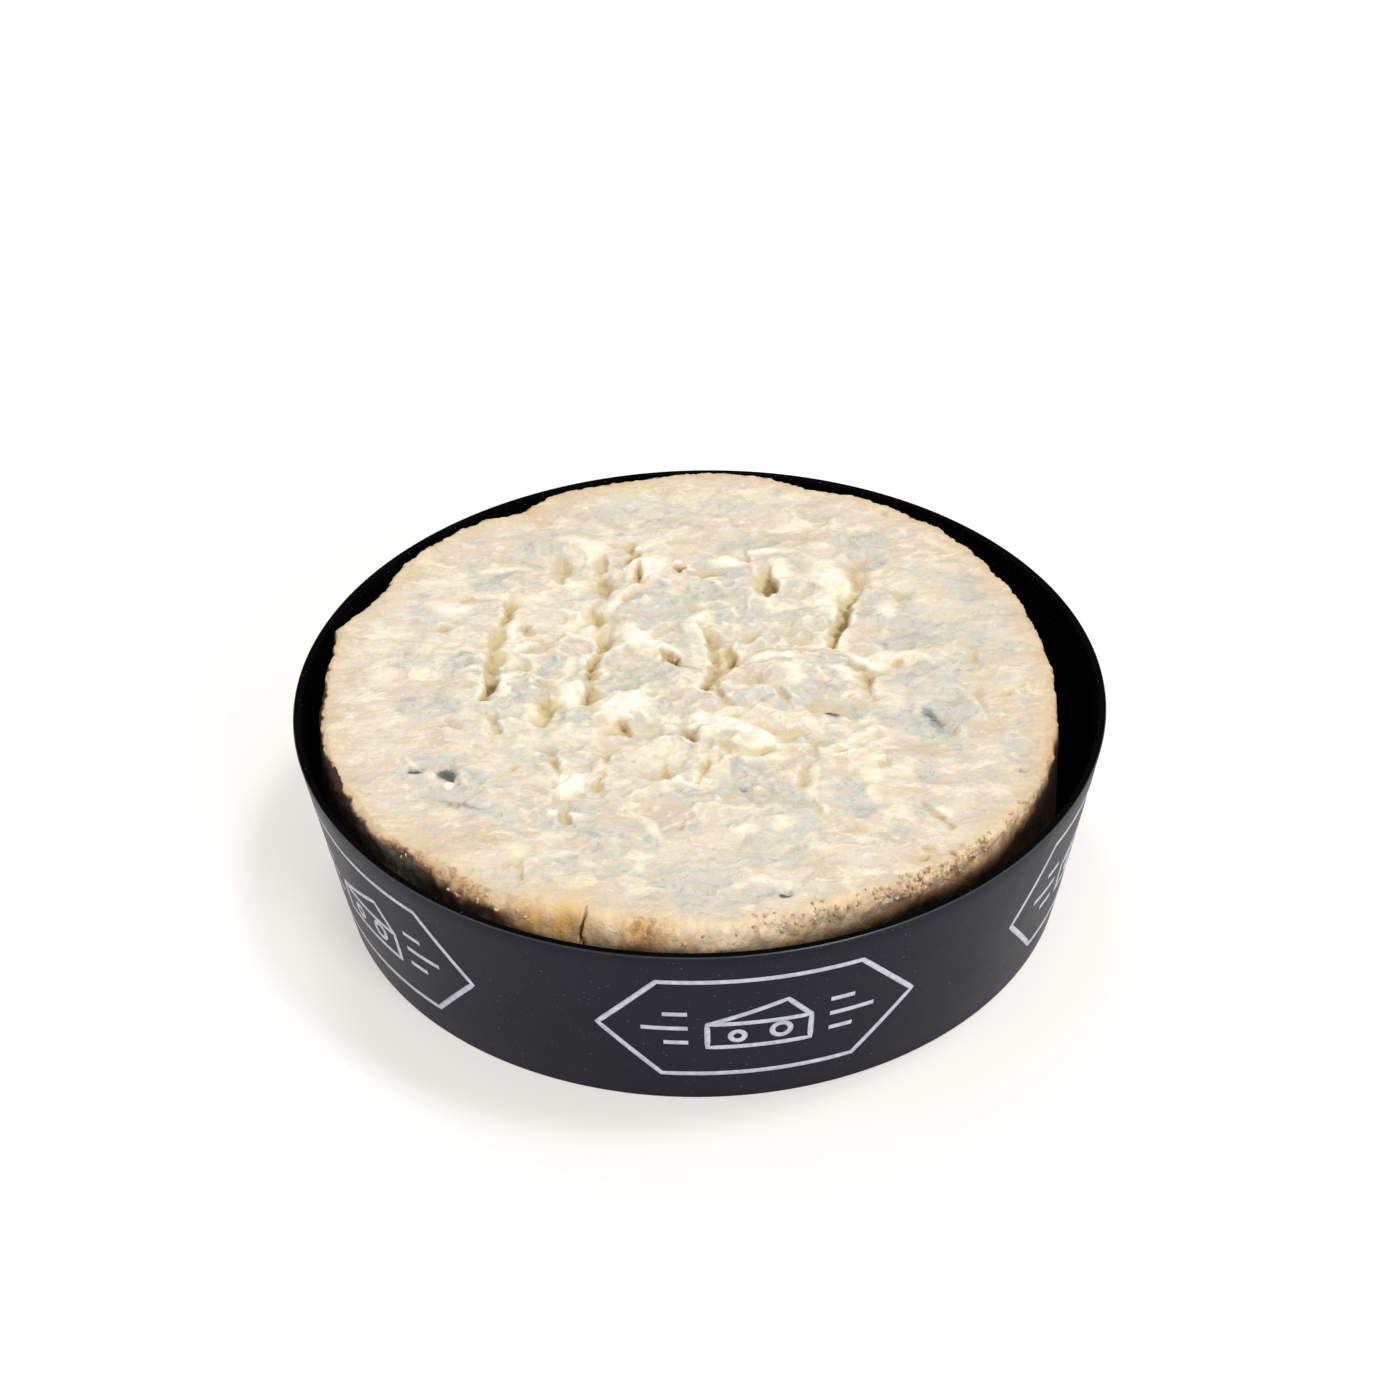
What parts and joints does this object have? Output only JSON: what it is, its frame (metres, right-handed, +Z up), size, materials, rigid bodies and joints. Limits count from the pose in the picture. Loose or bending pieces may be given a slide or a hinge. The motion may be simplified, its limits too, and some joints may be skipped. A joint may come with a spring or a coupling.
{
  "type": "gorgonzola dolce half wheel in its tub",
  "caption": "Half a wheel of soft blue-veined cheese, cut level and lying cut face up in its own flared round black tub.",
  "frame": {"origin": "centre of the tub's foot, on the surface that the tub stands on", "axes": "+Z up along the tub's axis, the side shown in the picture faces -Y, +X to its right"},
  "size_m": [0.31, 0.31, 0.0861],
  "materials": {
    "cheese": "moist creamy paste with grey-blue veins and a tan rind",
    "tub": "satin black plastic with pale grey printed badges"
  },
  "bodies": {
    "root": {"cheese": "cheese", "tub": "tub"}
  },
  "joints": []
}
